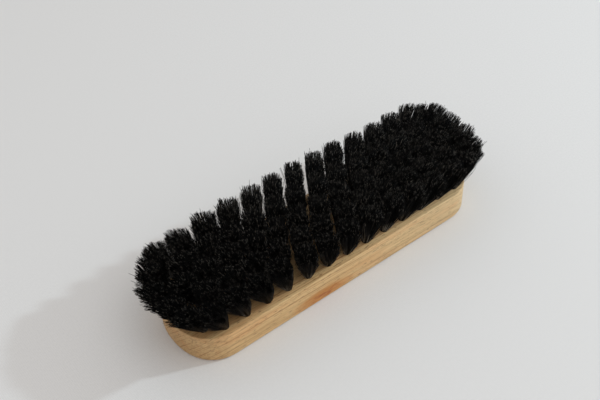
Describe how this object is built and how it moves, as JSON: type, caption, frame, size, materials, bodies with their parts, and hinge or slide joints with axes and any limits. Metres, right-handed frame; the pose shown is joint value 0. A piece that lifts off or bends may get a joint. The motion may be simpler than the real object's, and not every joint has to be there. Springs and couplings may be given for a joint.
{
  "type": "clothes brush",
  "caption": "Hand-held wooden clothes brush: a flat block with rounded ends and fanned tufts of dark horsehair on one face.",
  "frame": {"origin": "centre of the flat back, on the surface that the brush lies on with its bristles up", "axes": "+X along the brush, +Y across it, +Z from the back towards the bristle tips"},
  "size_m": [0.1957, 0.062, 0.0348],
  "materials": {
    "wood": "fine sanded beech with a thin satin wax",
    "bristle": "black-brown horsehair, slightly glossy strands"
  },
  "bodies": {
    "root": {"block": "wood", "tuft_near_row_01": "bristle", "tuft_near_row_02": "bristle", "tuft_near_row_03": "bristle", "tuft_near_row_04": "bristle", "tuft_near_row_05": "bristle", "tuft_near_row_06": "bristle", "tuft_near_row_07": "bristle", "tuft_near_row_08": "bristle", "tuft_near_row_09": "bristle", "tuft_near_row_10": "bristle", "tuft_near_row_11": "bristle", "tuft_near_row_12": "bristle", "tuft_near_row_13": "bristle", "tuft_far_row_01": "bristle", "tuft_far_row_02": "bristle", "tuft_far_row_03": "bristle", "tuft_far_row_04": "bristle", "tuft_far_row_05": "bristle", "tuft_far_row_06": "bristle", "tuft_far_row_07": "bristle", "tuft_far_row_08": "bristle", "tuft_far_row_09": "bristle", "tuft_far_row_10": "bristle", "tuft_far_row_11": "bristle", "tuft_far_row_12": "bristle", "tuft_far_row_13": "bristle", "tuft_near_inner_01": "bristle", "tuft_near_inner_02": "bristle", "tuft_near_inner_03": "bristle", "tuft_near_inner_04": "bristle", "tuft_near_inner_05": "bristle", "tuft_near_inner_06": "bristle", "tuft_near_inner_07": "bristle", "tuft_near_inner_08": "bristle", "tuft_near_inner_09": "bristle", "tuft_near_inner_10": "bristle", "tuft_near_inner_11": "bristle", "tuft_near_inner_12": "bristle", "tuft_far_inner_01": "bristle", "tuft_far_inner_02": "bristle", "tuft_far_inner_03": "bristle", "tuft_far_inner_04": "bristle", "tuft_far_inner_05": "bristle", "tuft_far_inner_06": "bristle", "tuft_far_inner_07": "bristle", "tuft_far_inner_08": "bristle", "tuft_far_inner_09": "bristle", "tuft_far_inner_10": "bristle", "tuft_far_inner_11": "bristle", "tuft_far_inner_12": "bristle", "tuft_left_end_01": "bristle", "tuft_left_end_02": "bristle", "tuft_left_end_03": "bristle", "tuft_left_end_04": "bristle", "tuft_right_end_01": "bristle", "tuft_right_end_02": "bristle", "tuft_right_end_03": "bristle", "tuft_right_end_04": "bristle", "tuft_centre_row": "bristle"}
  },
  "joints": []
}
